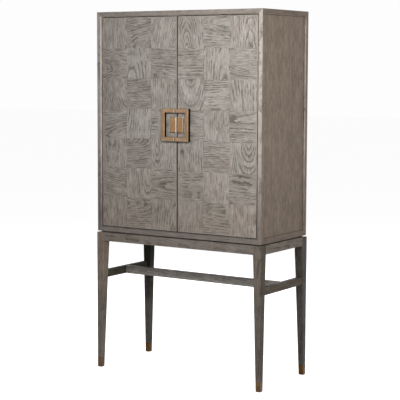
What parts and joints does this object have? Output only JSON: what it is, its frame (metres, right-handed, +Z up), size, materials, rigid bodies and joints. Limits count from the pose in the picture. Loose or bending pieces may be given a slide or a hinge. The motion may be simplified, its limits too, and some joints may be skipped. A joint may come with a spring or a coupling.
{
  "type": "bar cabinet with fold out shelf",
  "caption": "Tall drinks cabinet on a tapered stand with ferrules: parquetry doors on pivots, a split ring handle, and a shelf inside that folds forward.",
  "frame": {"origin": "on the floor, at the bottom centre of the whole object's box", "axes": "+Z up, +Y from the doors to the back, +X to the right as seen from the front"},
  "size_m": [0.966, 0.459, 1.8],
  "materials": {
    "door_veneer": "limed grey oak veneer tiles, open grain, matt lacquer",
    "lipping": "solid oak lipping, pale limed",
    "case_veneer": "grey brown limed oak veneer, matt lacquer",
    "stand_wood": "solid oak, grey brown stain, matt lacquer",
    "deck_wood": "dark painted board",
    "back_panel": "stained oak faced board",
    "inner_wood": "oak veneer inside, satin lacquer",
    "inlay_leather": "dark brown leather, tooled edge",
    "mirror_glass": "antiqued mirror",
    "handle_brass": "antique brass, satin",
    "ferrule_brass": "antique brass, satin",
    "fitting_brass": "brass, satin",
    "steel": "zinc plated steel"
  },
  "bodies": {
    "cabinet": {"apron_front": "stand_wood", "apron_left": "stand_wood", "apron_rear": "stand_wood", "apron_right": "stand_wood", "bottle_dividers": "inner_wood", "bottle_shelf": "inner_wood", "case_back": "back_panel", "case_bottom": "case_veneer", "case_side_left": "case_veneer", "case_side_right": "case_veneer", "case_top": "case_veneer", "corner_braces": "inner_wood", "counter": "inner_wood", "deck": "deck_wood", "door_catches": "steel", "ferrule_front_left": "ferrule_brass", "ferrule_front_right": "ferrule_brass", "ferrule_rear_left": "ferrule_brass", "ferrule_rear_right": "ferrule_brass", "fixed_shelf": "inner_wood", "leaf_bushes": "fitting_brass", "leaf_stops": "steel", "leg_front_left": "stand_wood", "leg_front_right": "stand_wood", "leg_rear_left": "stand_wood", "leg_rear_right": "stand_wood", "loose_shelf": "inner_wood", "mirror": "mirror_glass", "pivot_sockets": "fitting_brass", "quadrant_guides": "fitting_brass", "shelf_supports": "fitting_brass", "stand_bolts": "steel", "stem_rails": "inner_wood", "stretcher_left": "stand_wood", "stretcher_long": "stand_wood", "stretcher_right": "stand_wood"},
    "door_left": {"door_left_core": "inner_wood", "door_left_galleries": "inner_wood", "door_left_lipping": "lipping", "door_left_parquet": "door_veneer", "door_left_pivots": "fitting_brass", "door_left_plate": "handle_brass", "door_left_rails": "fitting_brass", "door_left_ring": "handle_brass", "door_left_strike": "steel"},
    "door_right": {"door_right_core": "inner_wood", "door_right_galleries": "inner_wood", "door_right_lipping": "lipping", "door_right_parquet": "door_veneer", "door_right_pivots": "fitting_brass", "door_right_plate": "handle_brass", "door_right_rails": "fitting_brass", "door_right_ring": "handle_brass", "door_right_strike": "steel"},
    "leaf": {"leaf": "inner_wood", "leaf_inlay": "inlay_leather", "leaf_pins": "fitting_brass", "leaf_strikes": "steel", "quadrants": "fitting_brass"}
  },
  "joints": [
    {"name": "door_left_hinge", "type": "hinge", "parent": "cabinet", "child": "door_left", "pos_m": [-0.441, -0.2005, 1.25125], "axis": [0, 0, -1], "range_deg": [0, 110]},
    {"name": "door_right_hinge", "type": "hinge", "parent": "cabinet", "child": "door_right", "pos_m": [0.441, -0.2005, 1.25125], "axis": [0, 0, 1], "range_deg": [0, 110]},
    {"name": "leaf_hinge", "type": "hinge", "parent": "cabinet", "child": "leaf", "pos_m": [0, 0.0815, 1.0195], "axis": [1, 0, 0], "range_deg": [0, 90]}
  ]
}
